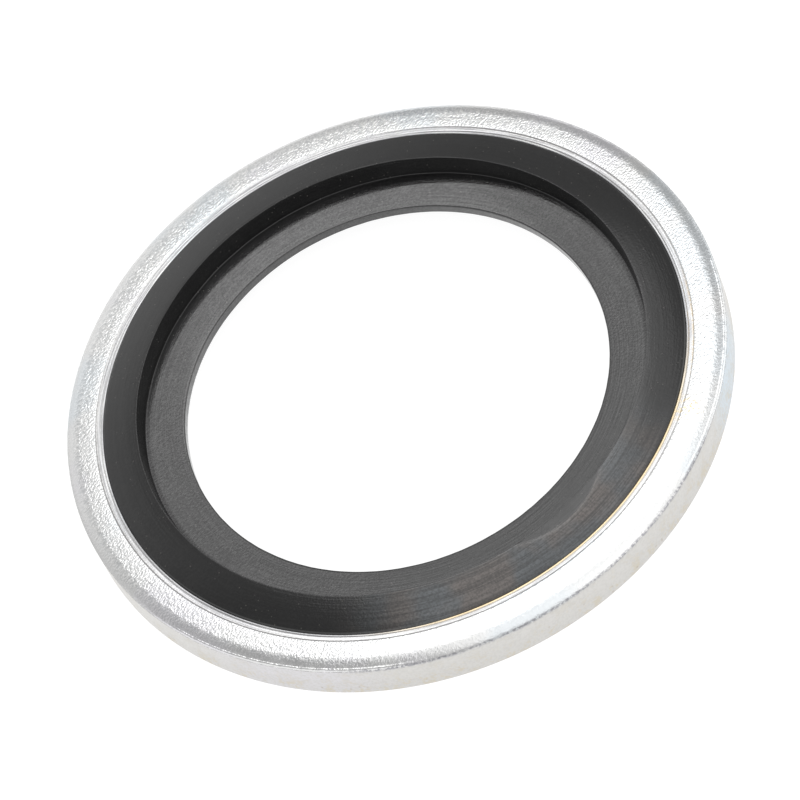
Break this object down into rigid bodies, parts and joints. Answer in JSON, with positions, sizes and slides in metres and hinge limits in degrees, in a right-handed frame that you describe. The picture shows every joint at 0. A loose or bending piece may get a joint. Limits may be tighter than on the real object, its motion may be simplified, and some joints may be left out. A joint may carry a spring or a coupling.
{
  "type": "bonded sealing washer",
  "caption": "Flat steel ring with a black rubber seal moulded onto its bore: proud lips seal both faces and a thin inner fin centres it on a thread.",
  "frame": {"origin": "centre of the washer, on the surface it lies on, which touches the crest of its lower lip", "axes": "+Z along the washer's axis, towards the face whose outer edge is rolled over"},
  "size_m": [0.0286, 0.0286, 0.0026],
  "materials": {
    "plated_steel": "zinc plated with a clear passivate, bright satin with a fine orange-peel grain",
    "black_rubber": "moulded nitrile rubber, matte black with faint moulding streaks and fine dust"
  },
  "bodies": {
    "root": {"steel_ring": "plated_steel", "rubber_seal": "black_rubber"}
  },
  "joints": []
}
